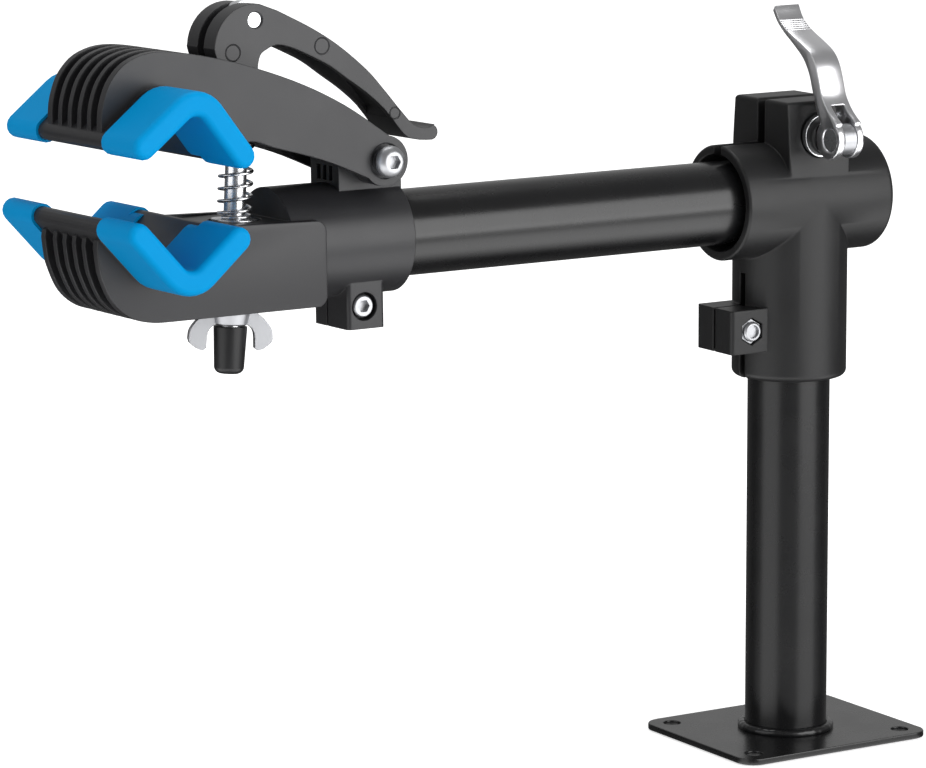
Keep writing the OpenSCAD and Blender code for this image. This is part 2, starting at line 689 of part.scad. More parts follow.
lever_under = [[84, -56.7], [78, -56], [72.4, -53.4], [63, -42.1], [54, -34.2], [44.6, -27.6],
  [35.8, -21.4], [26.5, -16.6], [17.7, -12.7], [10.4, -11], [5.1, -12.8], [2.1, -15.1],
  [0.8, -20.2], [1.4, -25]];
module lever_side_view() {
  polygon(concat(cam_edge, arc(lobe, lever_lobe_r, 176, 80, 12), spline(lever_top, 4),
    arc([86, -53.4], 3.4, 60, -80, 6), spline(lever_under, 3)));
}
module cam_lever() {
  half = lever_width / 2;
  color(charcoal) at_pin() difference() {
    across(-half, half) lever_side_view();
    // Slot for the rod's eye, open at the cam
    across(-lever_slot / 2, lever_slot / 2) {
      translate([-30, -40]) square([33, 60]);
      translate([-30, -40]) square([36, 40]);
      circle(8.2);
    }
    // Hollow underside of the handle
    across(3.2 - half, half - 3.2) intersection() {
      translate([-1.4, -3.2]) lever_side_view();
      translate([14, -50]) square([52, 60]);
    }
    rod_y(cam_pin_d / 2 + pin_gap, -half - cut, half + cut);
  }
}
module cam_pin() {
  color(steel) at_pin() difference() {
    rod_y(cam_pin_d / 2, 1 - lever_width / 2, lever_width / 2 - 1);
  }
}

// Clamp rod and what it carries, in the rod's frame
cap_bottom = -152;
rod_bottom = cap_bottom + 3;
eye_r = 7.6;
blade_end = -40;
module clamp_rod() {
  color(steel) on_rod() difference() {
    union() {
      across(-eye_thickness / 2, eye_thickness / 2) {
        circle(eye_r);
        translate([-rod_d / 2, blade_end]) square([rod_d, -blade_end]);
      }
      translate([0, 0, rod_bottom]) cylinder(d = rod_d, h = blade_end - rod_bottom);
    }
    rod_y(cam_pin_d / 2 + pin_gap, -eye_thickness, eye_thickness);
  }
}
module rod_cap() {
  taper = 0.8;
  edge = 3;
  color(black) on_rod() translate([0, 0, cap_bottom]) difference() {
    rotate_extrude() polygon(concat([[0, 0]], arc([cap_d / 2 - taper - edge, edge], edge, -90, -3, 6),
      [[cap_d / 2, cap_length], [0, cap_length]]));
    translate([0, 0, 3]) cylinder(r = rod_d / 2 + pin_gap, h = cap_length);
  }
}
deck_washer_t = 1.6;
module deck_washer() {
  color(steel) on_rod() translate([0, 0, -deck_depth]) difference() {
    cylinder(d = washer_d, h = deck_washer_t);
    translate([0, 0, -cut]) cylinder(r = rod_d / 2 + 0.4, h = 5);
  }
}
module nut_washer() {
  color(steel) on_rod() translate([0, 0, -web_depth - 1.5]) difference() {
    cylinder(d = washer_d, h = 1.5);
    translate([0, 0, -cut]) cylinder(r = rod_d / 2 + 0.4, h = 5);
  }
}
wing_turn = 14;
module wing_nut() {
  collar_h = 7.2;
  r = 8.6;
  tip = wing_span / 2;
  color(steel) on_rod() translate([0, 0, -web_depth - 1.5 - gap]) rotate([0, 0, -wing_turn]) difference() {
    union() {
      rotate([180, 0, 0]) rotate_extrude()
        polygon([[0, 0], [r - 0.6, 0], [r, 0.6], [r - 1.2, collar_h - 0.6], [r - 1.8, collar_h], [0, collar_h]]);
      for (s = [0, 1]) mirror([s, 0, 0]) across(-1.5, 1.5)
        polygon(concat([[4, -0.8], [r + 1, -0.8]], spline([[r + 1, -0.8], [14.5, -4.6], [18, -9], [tip, -13.2]], 4),
          spline([[tip - 0.6, -15], [tip - 4, -17.6], [tip - 6.6, -18.3]], 3),
          spline([[tip - 8, -17.2], [10.2, -10.6], [7.8, -7.6], [4, -7]], 3)));
    }
    translate([0, 0, -30]) cylinder(r = rod_d / 2 + thread_gap, h = 40);
    translate([0, 0, -30]) cylinder(r = cap_d / 2 + gap, h = 30 - collar_h);
  }
}

// Spring: an unbroken wire from the deck washer to the saddle
spring_r = (spring_d - spring_wire) / 2;
spring_low = -deck_depth + deck_washer_t + spring_wire / 2 + 0.05;
spring_high = -saddle_depth - saddle_thickness - spring_wire / 2 - 0.05;
ring_sides = 6;
spring_start = -167;
rings_per_turn = 8;
closed_turns = 1;
closed_rise = spring_wire + 0.5;
free_rise = (spring_high - spring_low - 2 * closed_rise) / spring_turns;
total_turns = spring_turns + 2 * closed_turns;
function spring_z(t) = t < closed_turns ? t * closed_rise
  : t < closed_turns + spring_turns ? closed_rise + (t - closed_turns) * free_rise
  : closed_rise + spring_turns * free_rise + (t - closed_turns - spring_turns) * closed_rise;
function spring_at(t) = [spring_r * cos(spring_start + 360 * t), spring_r * sin(spring_start + 360 * t), spring_low + spring_z(t)];
ring_count = total_turns * rings_per_turn;
function end_dir(t) = [-sin(spring_start + 360 * t), cos(spring_start + 360 * t), 0];
path = concat([spring_at(0) - spring_wire * end_dir(0)],
  [for (k = [0 : ring_count]) spring_at(k / rings_per_turn)],
  [spring_at(total_turns) + spring_wire * end_dir(total_turns)]);
function ring_turn(i) = max(0, min(i - 1, ring_count)) / rings_per_turn;
spring_points = [for (i = [0 : len(path) - 1], k = [0 : ring_sides - 1])
  let (t = spring_start + 360 * ring_turn(i), a = 360 * k / ring_sides, r = spring_wire / 2)
    path[i] + r * cos(a) * [cos(t), sin(t), 0] + r * sin(a) * [0, 0, 1]];
last_ring = (len(path) - 1) * ring_sides;
spring_faces = concat([[for (k = [0 : ring_sides - 1]) k]],
  [for (i = [0 : len(path) - 2], k = [0 : ring_sides - 1], h = [0, 1])
    let (a = i * ring_sides + k, b = i * ring_sides + (k + 1) % ring_sides)
      h == 0 ? [a, a + ring_sides, b] : [b, a + ring_sides, b + ring_sides]],
  [[for (k = [ring_sides - 1 : -1 : 0]) last_ring + k]]);
module clamp_spring() {
  color(steel) on_rod() polyhedron(spring_points, spring_faces);
}
echo(spring_gap = min(closed_rise, free_rise) - spring_wire);

base_plate();
post_tube();
post_weld();
collar();
collar_bolt();
collar_nut();
release_bolt();
release_nut();
release_cup();
release_saddle();
release_barrel();
release_lever();
arm_tube();
arm_plug();
head_body();
lower_pad_near();
lower_pad_far();
head_bolt();
head_nut();
deck_washer();
pivot_bolt();
pivot_bush();
pivot_nut();
upper_jaw();
upper_pad_near();
upper_pad_far();
cam_lever();
cam_pin();
clamp_rod();
rod_cap();
clamp_spring();
nut_washer();
wing_nut();
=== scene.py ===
# %% [markdown]
# A bicycle repair clamp, dressed for the camera.
#
# The real object is a steel base plate with an upright post, a cross arm that
# slides in a moulded collar, and a clamp head with two ribbed jaws, four soft
# blue pads, a cam lever and a spring-loaded rod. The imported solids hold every
# size, so this lesson adds what solids lack: soft edges, grain, plating and
# light. Everything is in metres and stays where the solids put it.

# %% Load the solids
import bpy
import json
import math
from mathutils import Matrix, Vector

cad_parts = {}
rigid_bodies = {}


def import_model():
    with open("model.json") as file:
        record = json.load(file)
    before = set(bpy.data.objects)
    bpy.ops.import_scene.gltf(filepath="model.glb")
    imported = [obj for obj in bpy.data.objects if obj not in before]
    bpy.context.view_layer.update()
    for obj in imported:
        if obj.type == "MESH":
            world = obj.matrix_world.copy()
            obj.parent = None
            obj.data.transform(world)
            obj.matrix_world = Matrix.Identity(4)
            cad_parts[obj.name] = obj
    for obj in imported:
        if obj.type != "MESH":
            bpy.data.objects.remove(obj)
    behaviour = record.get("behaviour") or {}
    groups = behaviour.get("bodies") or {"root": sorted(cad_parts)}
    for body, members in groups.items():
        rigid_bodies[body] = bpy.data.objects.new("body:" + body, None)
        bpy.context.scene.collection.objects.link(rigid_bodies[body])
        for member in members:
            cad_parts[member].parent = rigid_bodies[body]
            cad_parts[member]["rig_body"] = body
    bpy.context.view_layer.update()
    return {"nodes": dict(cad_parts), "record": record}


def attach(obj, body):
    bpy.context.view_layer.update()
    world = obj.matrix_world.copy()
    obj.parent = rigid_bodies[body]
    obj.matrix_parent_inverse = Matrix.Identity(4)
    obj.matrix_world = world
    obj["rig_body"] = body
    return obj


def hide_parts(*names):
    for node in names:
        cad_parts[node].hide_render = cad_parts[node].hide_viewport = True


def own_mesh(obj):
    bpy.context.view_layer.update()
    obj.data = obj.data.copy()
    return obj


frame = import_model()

nodes = frame["nodes"]

# %% [markdown]
# The camera comes first, because every later choice is judged through it. The
# photograph was taken from far away with a long lens, so lines that run away
# from us stay almost parallel. The viewing angle is given by three turns:
# round the upright, down, and a very small roll.

# %% Camera at the photograph's place
turn, down, roll = math.radians(31.75), math.radians(10.26), math.radians(-0.19)
forward = Vector((math.sin(turn) * math.cos(down), math.cos(turn) * math.cos(down), -math.sin(down)))
level_right = Vector((math.cos(turn), -math.sin(turn), 0.0))
level_up = level_right.cross(forward)
right = level_right * math.cos(roll) + level_up * math.sin(roll)
up = level_up * math.cos(roll) - level_right * math.sin(roll)

focal_pixels, picture_width = 4655, 926
aim_point, distance = Vector((-0.1774, 0.0, 0.1834)), 2.062
lens = bpy.data.cameras.new("photo_camera")
lens.sensor_width = 36.0
lens.lens = focal_pixels / picture_width * lens.sensor_width
camera = bpy.data.objects.new("photo_camera", lens)
bpy.context.scene.collection.objects.link(camera)
place = aim_point - forward * distance
camera.matrix_world = Matrix((
    (right.x, up.x, -forward.x, place.x),
    (right.y, up.y, -forward.y, place.y),
    (right.z, up.z, -forward.z, place.z),
    (0, 0, 0, 1)))
bpy.context.scene.camera = camera
bpy.context.scene.view_settings.view_transform = "Standard"
print("camera at", [round(v, 3) for v in place], "lens", round(lens.lens, 1), "mm")

# %% [markdown]
# A black tube has almost no colour of its own: what we see on it is the room.
# In the photograph the post shows two long soft bands with a dark gap between
# them, so there is one wide softbox on the right and a weaker one on the left.
# A third lamp above and behind gives the tops a little light.

# %% Studio lamps
def area_lamp(name, where, at, size, power):
    data = bpy.data.lights.new(name, "AREA")
    data.shape = "RECTANGLE"
    data.size, data.size_y = size
    data.energy = power
    lamp = bpy.data.objects.new(name, data)
    bpy.context.scene.collection.objects.link(lamp)
    lamp.location = where
    aim = Vector(at) - Vector(where)
    lamp.rotation_euler = aim.to_track_quat("-Z", "Y").to_euler()
    print("lamp", name, power, "W")

head_and_post = (-0.15, 0, 0.25)
side_box, top_box = (1.5, 1.2), (1.4, 0.6)
area_lamp("right_softbox", (0.44, -1.38, 0.60), head_and_post, side_box, 22)
area_lamp("left_softbox", (-1.65, -0.09, 0.60), head_and_post, side_box, 6)
area_lamp("top_softbox", (-0.1, 0.4, 1.8), (-0.15, 0, 0.2), top_box, 8)

# %% [markdown]
# The world and the finishes below are small programs made of nodes. Three
# nodes come back again and again: a smooth change between two values, a sum
# with two numbers, and a sum with two vectors. One helper for each keeps the
# rules short enough to read.

# %% Helpers for node rules
def ramp(tree, value, low, high, start, end):
    """Turns a value smoothly from start to end, between two limits."""
    span = tree.nodes.new("ShaderNodeMapRange")
    span.interpolation_type = "SMOOTHSTEP"
    span.inputs["From Min"].default_value = low
    span.inputs["From Max"].default_value = high
    span.inputs["To Min"].default_value = start
    span.inputs["To Max"].default_value = end
    tree.links.new(value, span.inputs["Value"])
    return span.outputs["Result"]

def combine(tree, kind, first, second):
    """One Math node; a number goes on its socket, anything else is linked."""
    node = tree.nodes.new("ShaderNodeMath")
    node.operation = kind
    for socket, value in zip(node.inputs, (first, second)):
        if isinstance(value, float):
            socket.default_value = value
        else:
            tree.links.new(value, socket)
    return node.outputs[0]

def vector(tree, kind, first, second):
    """One Vector Math node with a linked and a fixed vector."""
    node = tree.nodes.new("ShaderNodeVectorMath")
    node.operation = kind
    tree.links.new(first, node.inputs[0])
    node.inputs[1].default_value = second
    return node.outputs["Value" if kind in ("DOT_PRODUCT", "DISTANCE") else "Vector"]

print("helpers for node rules: ramp, combine, vector")

# %% [markdown]
# The surroundings are white where the camera looks. A reflection sees a studio
# instead: a wall behind the clamp, dim air, and below the horizon a bench on
# which the light of the softboxes lies. This is what keeps black parts black
# and still draws soft bands along the tubes. A rule in the world gives every
# direction its brightness, and the floor is hidden from reflections so that
# they reach the world.

# %% What a reflection sees
def level_direction(angle):
    """A level direction, at an angle from the camera's own."""
    angle = turn + math.radians(angle)
    return (math.sin(angle), math.cos(angle), 0.0)

to_wall = level_direction(0)
to_lamps = [level_direction(126), level_direction(-126)]

def seen_in_metal(tree, direction):
    """How bright each direction of the room looks in a reflection."""
    wallward = vector(tree, "DOT_PRODUCT", direction, to_wall)
    above = ramp(tree, wallward, 0.40, 0.92, 0.24, 0.5)
    wall = ramp(tree, wallward, 0.25, 0.8, 0.06, 0.10)
    level = vector(tree, "NORMALIZE", vector(tree, "MULTIPLY", direction, (1, 1, 0)), (0, 0, 0))
    lampward = [vector(tree, "DOT_PRODUCT", level, lamp) for lamp in to_lamps]
    pools = ramp(tree, combine(tree, "MAXIMUM", *lampward), 0.84, 0.96, 0.0, 1.3)
    steep = vector(tree, "DOT_PRODUCT", direction, (0, 0, -1))
    bench = combine(tree, "SUBTRACT", ramp(tree, steep, 0.24, 0.42, 0.0, 2.9),
                    ramp(tree, steep, 0.68, 0.88, 0.0, 2.6))
    near_side = ramp(tree, wallward, 0.05, 0.4, 1.0, 0.0)
    bench = combine(tree, "MULTIPLY", bench, near_side)
    below = combine(tree, "MAXIMUM", wall, combine(tree, "MAXIMUM", pools, bench))
    is_below = combine(tree, "GREATER_THAN", steep, 0.0)
    return combine(tree, "ADD", combine(tree, "MULTIPLY", below, is_below),
                   combine(tree, "MULTIPLY", above, combine(tree, "SUBTRACT", 1.0, is_below)))

print("wall towards", [round(v, 2) for v in to_wall], "and lamps on", len(to_lamps), "sides")

# %% Surroundings
soft_fill = 0.35

def studio_world():
    world = bpy.data.worlds.new("studio")
    bpy.context.scene.world = world
    world.use_nodes = True
    tree = world.node_tree
    tree.nodes.clear()
    where = tree.nodes.new("ShaderNodeTexCoord")
    paths = tree.nodes.new("ShaderNodeLightPath")
    seen = seen_in_metal(tree, where.outputs["Generated"])
    mirrored = combine(tree, "MULTIPLY", seen, paths.outputs["Is Glossy Ray"])
    direct = combine(tree, "MAXIMUM", paths.outputs["Is Camera Ray"], paths.outputs["Is Transmission Ray"])
    special = combine(tree, "MAXIMUM", direct, paths.outputs["Is Glossy Ray"])
    spread = combine(tree, "MULTIPLY", combine(tree, "SUBTRACT", 1.0, special), soft_fill)
    strength = combine(tree, "ADD", combine(tree, "MAXIMUM", direct, mirrored), spread)
    shine = tree.nodes.new("ShaderNodeBackground")
    output = tree.nodes.new("ShaderNodeOutputWorld")
    shine.inputs["Color"].default_value = (1, 1, 1, 1)
    tree.links.new(strength, shine.inputs["Strength"])
    tree.links.new(shine.outputs[0], output.inputs["Surface"])
    return world

print("world:", studio_world().name)

# %% [markdown]
# The clamp stands on a pale sheet. Far from the plate the sheet glows white to
# the camera, so no edge shows against the background. Close to the plate it
# mostly shows its own lit colour, and with it the soft shadow.

# %% Floor
def pale_floor():
    bpy.ops.mesh.primitive_plane_add(size=14.0, location=(0, 0, -0.0004))
    floor = bpy.context.object
    floor.name = "floor"
    paint = bpy.data.materials.new("pale_floor")
    paint.use_nodes = True
    tree = paint.node_tree
    tree.nodes.clear()
    where = tree.nodes.new("ShaderNodeTexCoord")
    far = vector(tree, "DISTANCE", where.outputs["Object"], (-0.1, -0.05, 0.0))
    paths = tree.nodes.new("ShaderNodeLightPath")
    lit = tree.nodes.new("ShaderNodeBsdfDiffuse")
    lit.inputs["Color"].default_value = (0.78, 0.78, 0.78, 1)
    white = tree.nodes.new("ShaderNodeEmission")
    glow = ramp(tree, far, 0.2, 0.6, 0.62, 1.0)
    to_camera = combine(tree, "MULTIPLY", glow, paths.outputs["Is Camera Ray"])
    tree.links.new(to_camera, white.inputs["Strength"])
    sheet = tree.nodes.new("ShaderNodeAddShader")
    tree.links.new(lit.outputs[0], sheet.inputs[0])
    tree.links.new(white.outputs[0], sheet.inputs[1])
    output = tree.nodes.new("ShaderNodeOutputMaterial")
    tree.links.new(sheet.outputs[0], output.inputs["Surface"])
    floor.data.materials.append(paint)
    floor.visible_glossy = False

pale_floor()
print("floor laid at z = 0")

# %% [markdown]
# Finishes. Each is one Principled shader with a fine pattern on Object
# coordinates: a weak change of roughness, which breaks up reflections, and a
# bump at the scale of the real grain. Moulded parts also get a Bevel node,
# which rounds how an edge shades without a change of its mesh. Numbers that
# are the same all over are set on the shader's own sockets.

# %% A helper for grained finishes
grain_depth = 0.0003

def finish(name, colour, rough, metal=0.0, grain=900.0, bump=0.05, spread=0.06, coat=0.0,
           coat_rough=0.2, mottle=0.06, shine=0.5, round_edge=0.0, relief_rule=None):
    """A Principled material with grain; lengths are in metres."""
    material = bpy.data.materials.new(name)
    material.use_nodes = True
    tree = material.node_tree
    shader = tree.nodes["Principled BSDF"]
    shader.inputs["Metallic"].default_value = metal
    shader.inputs["Specular IOR Level"].default_value = shine
    shader.inputs["Coat Weight"].default_value = coat
    shader.inputs["Coat Roughness"].default_value = coat_rough
    where = tree.nodes.new("ShaderNodeTexCoord")
    fine = tree.nodes.new("ShaderNodeTexNoise")
    fine.inputs["Scale"].default_value = grain
    fine.inputs["Detail"].default_value = 3.0
    broad = tree.nodes.new("ShaderNodeTexNoise")
    broad.inputs["Scale"].default_value = grain / 30
    broad.inputs["Detail"].default_value = 4.0
    tree.links.new(where.outputs["Object"], fine.inputs["Vector"])
    tree.links.new(where.outputs["Object"], broad.inputs["Vector"])
    shade = tree.nodes.new("ShaderNodeMix")
    shade.data_type = "RGBA"
    low = [c * (1 - mottle) for c in colour] + [1]
    high = [min(1, c * (1 + mottle)) for c in colour] + [1]
    shade.inputs["A"].default_value = low
    shade.inputs["B"].default_value = high
    tree.links.new(broad.outputs["Fac"], shade.inputs["Factor"])
    tree.links.new(shade.outputs["Result"], shader.inputs["Base Color"])
    span = tree.nodes.new("ShaderNodeMapRange")
    span.inputs["To Min"].default_value = max(0.02, rough - spread)
    span.inputs["To Max"].default_value = rough + spread
    tree.links.new(broad.outputs["Fac"], span.inputs["Value"])
    tree.links.new(span.outputs["Result"], shader.inputs["Roughness"])
    relief = tree.nodes.new("ShaderNodeBump")
    relief.inputs["Strength"].default_value = bump
    relief.inputs["Distance"].default_value = grain_depth
    tree.links.new(fine.outputs["Fac"], relief.inputs["Height"])
    if round_edge:
        rounded = tree.nodes.new("ShaderNodeBevel")
        rounded.samples = 6
        rounded.inputs["Radius"].default_value = round_edge
        tree.links.new(rounded.outputs["Normal"], relief.inputs["Normal"])
    normal = relief.outputs["Normal"]
    if relief_rule:
        carved = tree.nodes.new("ShaderNodeBump")
        carved.inputs["Distance"].default_value = grain_depth
        tree.links.new(relief_rule(tree, where.outputs["Object"]), carved.inputs["Height"])
        tree.links.new(normal, carved.inputs["Normal"])
        normal = carved.outputs["Normal"]
    tree.links.new(normal, shader.inputs["Normal"])
    print("finish", name)
    return material

# %% [markdown]
# Some marks are only tenths of a millimetre deep: the cross ridges on the
# quick-release lever and the rings that ejector pins leave on a moulded part.
# They are worked out from a point's place and carved as relief. The clamp head
# is rolled a little about the arm, so its own frame is set up here.

# %% Marks that are too shallow to model
head_roll = math.radians(-1.3)
arm_height = 0.2538
head_frame = Matrix.Translation((-0.2165, 0, arm_height)) @ Matrix.Rotation(head_roll, 4, "X")

ridge_pitch = 0.0008

def grip_ridges(tree, where):
    """Fine cross ridges near the tip of the quick-release lever."""
    height = vector(tree, "DOT_PRODUCT", where, (0, 0, 1))
    wave = combine(tree, "SINE", combine(tree, "MULTIPLY", height, 2 * math.pi / ridge_pitch), 0.0)
    inside = combine(tree, "SUBTRACT", ramp(tree, height, 0.3309, 0.3312, 0.0, 1.0),
                     ramp(tree, height, 0.3352, 0.3355, 0.0, 1.0))
    return combine(tree, "MULTIPLY", wave, inside)

lever_side = 0.01225
ring_places = ((-0.08084, 0.08458, 0.0035), (-0.03747, 0.08497, 0.0035), (-0.00178, 0.05391, 0.0025))
ring_line = 0.0004

def ejector_rings(tree, where):
    """Shallow rings that ejector pins leave on the near face of the cam lever."""
    total = None
    for x, z, radius in ring_places:
        middle = head_frame @ Vector((x, -lever_side, z))
        away = vector(tree, "DISTANCE", where, tuple(middle))
        ring = combine(tree, "SUBTRACT", ramp(tree, away, radius - ring_line, radius, 0.0, 1.0),
                       ramp(tree, away, radius, radius + ring_line, 0.0, 1.0))
        total = ring if total is None else combine(tree, "ADD", total, ring)
    return total

print("ridges every", ridge_pitch * 1000, "mm and", len(ring_places), "rings")

# %% The finishes of this clamp
moulded = dict(rough=0.38, grain=1800, bump=0.08, shine=0.40, round_edge=0.0007)
finishes = {
    "black_coat": finish("black_powder_coat", (0.006, 0.006, 0.0065), 0.27, grain=1400,
                         bump=0.06, shine=0.36, coat=0.2),
    "black_nylon": finish("black_moulded_nylon", (0.009, 0.009, 0.0095), 0.40, grain=1800,
                          bump=0.14, shine=0.34, round_edge=0.0012),
    "grey_nylon": finish("charcoal_moulded_nylon", (0.020, 0.020, 0.022), **moulded),
    "lever_nylon": finish("charcoal_lever_nylon", (0.027, 0.027, 0.029),
                          relief_rule=ejector_rings, **moulded),
    "blue_rubber": finish("blue_pad_rubber", (0.0, 0.305, 0.68), 0.50, grain=1200,
                          bump=0.06, shine=0.06, mottle=0.04),
    "black_cap": finish("black_cap_rubber", (0.012, 0.012, 0.013), 0.36, shine=0.35),
    "zinc": finish("bright_zinc", (0.74, 0.75, 0.77), 0.26, metal=1.0, grain=700, mottle=0.08),
    "dull_zinc": finish("dull_zinc", (0.40, 0.405, 0.42), 0.42, metal=1.0, grain=700,
                        bump=0.06, mottle=0.08),
    "cast_zinc": finish("cast_zinc", (0.36, 0.365, 0.38), 0.38, metal=1.0, grain=700,
                        bump=0.08, mottle=0.1, round_edge=0.0006),
    "chrome": finish("polished_chrome", (0.86, 0.86, 0.88), 0.28, metal=1.0, grain=300,
                     bump=0.01, spread=0.03, mottle=0.02, round_edge=0.0008,
                     relief_rule=grip_ridges),
}
slot_of = {s["node"]: s["material_slot"] for s in frame["record"]["subparts"]}
for node in slot_of:
    if node.endswith(("_bolt", "_nut")):
        slot_of[node] = "dull_zinc"
slot_of["wing_nut"] = "cast_zinc"
for node, thing in nodes.items():
    thing.data.materials.clear()
    thing.data.materials.append(finishes[slot_of[node]])
print("finishes on", len(nodes), "nodes")

# %% [markdown]
# Solids have knife-sharp edges, and nothing real has. A moulded jaw has 2 mm
# radii, a turned nut has 0.3 mm ones, and each of them catches a thin line of
# light. So each solid is copied, the copy is softened in a few steps, and then
# it stands in for the solid. Every step needs to select one object alone,
# because an operator acts on all that is selected, and the steps on the head
# need to know how far a point lies from its middle.

# %% Places on the head, and selecting one object
def across_head(point):
    """How far a point lies across the rolled head, from its middle."""
    return point.y * math.cos(head_roll) + (point.z - arm_height) * math.sin(head_roll)

def deselect():
    if bpy.context.mode != "OBJECT":
        bpy.ops.object.mode_set(mode="OBJECT")
    bpy.ops.object.select_all(action="DESELECT")

def make_active(thing):
    deselect()
    thing.select_set(True)
    bpy.context.view_layer.objects.active = thing

print("the head is rolled by", round(math.degrees(head_roll), 2), "degrees")

# %% [markdown]
# A loaded solid is loose triangles, so in its copy the points that coincide
# are merged and flat faces are joined again. It also brings its own stored
# normals, which no longer fit once its faces change, so they are cleared
# first: left in, they would paint false streaks on curved walls.

# %% A merged copy of a solid
merge_distance = 2e-6
flat_angle = math.radians(0.6)

def copy_of(node):
    """A merged copy of a solid, with its flat faces joined again."""
    thing = bpy.data.objects.new("soft_" + node, nodes[node].data.copy())
    bpy.context.scene.collection.objects.link(thing)
    make_active(thing)
    bpy.ops.mesh.customdata_custom_splitnormals_clear()
    bpy.ops.object.mode_set(mode="EDIT")
    bpy.ops.mesh.select_all(action="SELECT")
    bpy.ops.mesh.remove_doubles(threshold=merge_distance)
    bpy.ops.mesh.dissolve_limited(angle_limit=flat_angle)
    bpy.ops.mesh.select_all(action="DESELECT")
    bpy.ops.object.mode_set(mode="OBJECT")
    return thing

print("points merge within", round(merge_distance * 1e6, 1), "micrometres")

# %% [markdown]
# Some edges are rounded widely, such as the rims of a lever that a hand pulls.
# They are chosen by a test on their two ends, and the bevel operator rounds
# them in edit mode. Only sharp edges count, where two faces turn away from
# each other by more than 35 degrees, so a curved wall stays as it is.

# %% A wide bevel on chosen edges
sharp_angle = math.radians(35)

def bevel_where(thing, test, width, steps=4):
    """Bevels the sharp edges whose two ends both pass the test."""
    make_active(thing)
    bpy.ops.object.mode_set(mode="EDIT")
    bpy.ops.mesh.select_mode(type="EDGE")
    bpy.ops.mesh.select_all(action="DESELECT")
    bpy.ops.mesh.edges_select_sharp(sharpness=sharp_angle)
    bpy.ops.object.mode_set(mode="OBJECT")
    mesh = thing.data
    count = 0
    for edge in mesh.edges:
        keep = edge.select and all(test(mesh.vertices[v].co) for v in edge.vertices)
        edge.select = keep
        count += keep
    for vertex in mesh.vertices:
        vertex.select = False
    for face in mesh.polygons:
        face.select = False
    for edge in mesh.edges:
        if edge.select:
            for v in edge.vertices:
                mesh.vertices[v].select = True
    bpy.ops.object.mode_set(mode="EDIT")
    if count:
        bpy.ops.mesh.bevel(offset=width, offset_type="OFFSET", segments=steps, profile=0.5,
                           clamp_overlap=True)
    bpy.ops.object.mode_set(mode="OBJECT")
    return count

print("an edge is sharp from", round(math.degrees(sharp_angle)), "degrees")

# %% [markdown]
# All other sharp edges get a narrow bevel from a modifier. Weighted normals
# then keep the flat faces flat to the eye, and a piece that curves all over
# goes without them. Last, the copy rides on its solid's body and replaces it.

# %% Narrow bevels, and standing in for the solid
def soften(thing, width, smooth=32, curved=False):
    """Breaks all sharp edges; flat faces keep flat shading unless it is curved."""
    make_active(thing)
    bevel = thing.modifiers.new("soft_edges", "BEVEL")
    bevel.width = width
    bevel.segments = 2
    bevel.limit_method = "ANGLE"
    bevel.angle_limit = sharp_angle
    bevel.use_clamp_overlap = True
    bpy.ops.object.modifier_apply(modifier=bevel.name)
    bpy.ops.object.shade_smooth_by_angle(angle=math.radians(smooth))
    if not curved:
        even = thing.modifiers.new("even_shading", "WEIGHTED_NORMAL")
        even.keep_sharp = True
        bpy.ops.object.modifier_apply(modifier=even.name)

def stand_in(thing, node):
    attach(thing, nodes[node]["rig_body"])
    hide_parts(node)
    print(node, "->", thing.name, len(thing.data.polygons), "faces")

print("solids to stand in for:", len(nodes))

# %% [markdown]
# The pads are thick blue sleeves of soft rubber, closed at their outer ends.
# Those ends have a generous round, and the inner ends a small one.

# %% Pads
def outer_end(point):
    return abs(across_head(point)) > 0.0597

for node in ("lower_pad_near", "lower_pad_far", "upper_pad_near", "upper_pad_far"):
    pad = copy_of(node)
    bevel_where(pad, outer_end, 0.0030, steps=5)
    soften(pad, 0.0009)
    stand_in(pad, node)

# %% [markdown]
# The jaws are moulded, with rounded outer edges along their side walls. Only
# the edges that lie in the plane of a side wall are chosen, so a small test
# is made for each width. The lower jaw and its sleeve are one curved moulding:
# it is smoothed by angle alone, and the finish rounds its other edges.

# %% Jaws
def on_side_walls(half_width):
    """A test for points that lie in one of the two side walls."""
    return lambda point: abs(abs(across_head(point)) - half_width) < 2e-5

head = copy_of("head_body")
bevel_where(head, on_side_walls(0.026), 0.0012, steps=3)
make_active(head)
bpy.ops.object.shade_smooth_by_angle(angle=math.radians(20))
stand_in(head, "head_body")

upper = copy_of("upper_jaw")
bevel_where(upper, on_side_walls(0.0245), 0.0018, steps=4)
soften(upper, 0.0006)
stand_in(upper, "upper_jaw")

# %% [markdown]
# The cam lever is pulled with the hand, so its long edges are very round.

# %% Cam lever
lever = copy_of("cam_lever")
bevel_where(lever, on_side_walls(lever_side), 0.0024, steps=5)
soften(lever, 0.0006)
lever.data.materials[0] = finishes["lever_nylon"]
stand_in(lever, "cam_lever")

# %% [markdown]
# The other solids only need their edges broken, each by the width that its
# maker would leave: least on washers and screws, most on mouldings. The two
# upper ears of the collar are rounded more. The quick-release lever curves all
# over, so its faces are shaded as one.

# %% The other solids
small_edges = {
    "base_plate": 0.0007, "post_tube": 0.0005, "collar": 0.0008, "arm_tube": 0.0005, "arm_plug": 0.0005,
    "collar_bolt": 0.0003, "collar_nut": 0.0003, "release_bolt": 0.0003, "release_nut": 0.0003,
    "release_cup": 0.0003, "release_saddle": 0.0004, "release_barrel": 0.0003, "release_lever": 0.0009,
    "head_bolt": 0.0003, "head_nut": 0.0003, "deck_washer": 0.0002, "pivot_bolt": 0.0003,
    "pivot_bush": 0.0003, "pivot_nut": 0.0003, "cam_pin": 0.0004, "clamp_rod": 0.0003,
    "rod_cap": 0.0005, "nut_washer": 0.0002, "wing_nut": 0.0005,
}
ear_top, ear_end, ear_foot = 0.2999, 0.0168, 0.0232

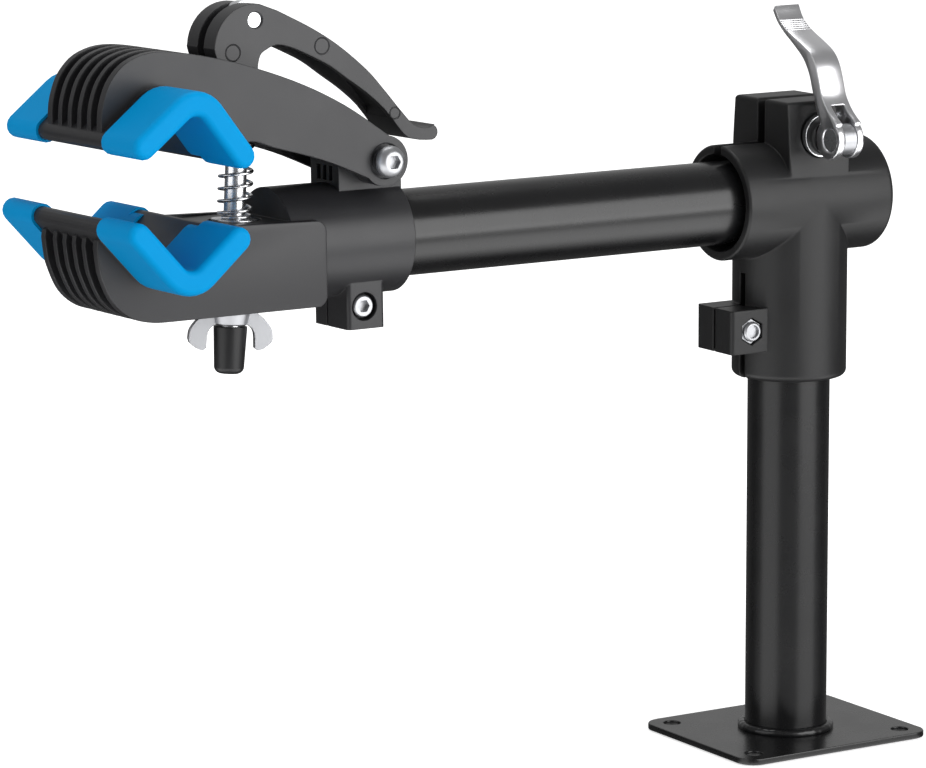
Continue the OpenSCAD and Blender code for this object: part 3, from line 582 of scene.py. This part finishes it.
def on_upper_ears(point):
    """The tops of the ears, and the upright edges at their corners."""
    upright = abs(abs(point.x) - ear_end) < 1e-5 and abs(point.y) > ear_foot
    return point.z > ear_top or upright

for node, width in small_edges.items():
    piece = copy_of(node)
    if node == "collar":
        print("ear edges rounded:", bevel_where(piece, on_upper_ears, 0.0016, steps=3))
    if node == "release_lever":
        soften(piece, width, smooth=24, curved=True)
    else:
        soften(piece, width)
    stand_in(piece, node)

# %% [markdown]
# The spring is one steel wire wound round the clamp rod: a closed curl at each
# end and eight free ones between. A wire is best made as a curve with a round
# section, whose points come from the winding's own formula. The rod leans a
# little, so the curve is made upright and then turned into the rod's place.

# %% Spring
rod_tilt = math.radians(3.8)
first_angle = math.radians(-167)
pin_place = Vector((-0.0697, 0.0, 0.0978))
rod_frame = head_frame @ Matrix.Translation(pin_place) @ Matrix.Rotation(rod_tilt, 4, "Y")

wire_radius = 0.0007

def spring_wire(turns=8, radius=0.0070, low=-0.08474, high=-0.03805, closed=0.0019):
    """A wire round the rod; heights are measured from the rod's pin, downwards."""
    free = (high - low - 2 * closed) / turns
    points = []
    steps = 28
    for k in range((turns + 2) * steps + 1):
        t = k / steps
        first, middle, last = min(t, 1), min(max(t - 1, 0), turns), max(t - 1 - turns, 0)
        rise = (first + last) * closed + middle * free
        angle = first_angle + 2 * math.pi * t
        points.append((radius * math.cos(angle), radius * math.sin(angle), low + rise))
    curve = bpy.data.curves.new("spring", "CURVE")
    curve.dimensions = "3D"
    spline = curve.splines.new("POLY")
    spline.points.add(len(points) - 1)
    for place, point in zip(spline.points, points):
        place.co = (*point, 1)
    curve.bevel_depth = wire_radius
    curve.bevel_resolution = 3
    curve.use_fill_caps = True
    thing = bpy.data.objects.new("spring_wire", curve)
    bpy.context.scene.collection.objects.link(thing)
    make_active(thing)
    bpy.ops.object.convert(target="MESH")
    thing = bpy.context.object
    thing.data.transform(rod_frame)
    bpy.ops.object.shade_smooth_by_angle(angle=math.radians(50))
    return thing

spring = spring_wire()
spring.data.materials.append(finishes["zinc"])
stand_in(spring, "clamp_spring")
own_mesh(spring)

# %% [markdown]
# The post is welded to its plate. A weld bead is a row of small overlapping
# scales under the paint, so a ring that is half sunk into the plate is rippled
# by a cloud texture.

# %% Weld bead
deselect()
plate_top, bead_radius = 0.0041, 0.0021
bpy.ops.mesh.primitive_torus_add(major_radius=0.0203, minor_radius=bead_radius,
                                 major_segments=160, minor_segments=20,
                                 location=(0, 0, plate_top))
weld = bpy.context.object
weld.name = "weld_bead"
make_active(weld)
bpy.ops.object.transform_apply(location=True, rotation=True, scale=True)
ripple = bpy.data.textures.new("weld_ripple", "CLOUDS")
ripple.noise_scale = 0.003
scales = weld.modifiers.new("scales", "DISPLACE")
scales.texture = ripple
scales.strength = 0.0007
bpy.ops.object.modifier_apply(modifier=scales.name)
bpy.ops.object.shade_smooth()
weld.data.materials.append(finishes["black_coat"])
stand_in(weld, "post_weld")
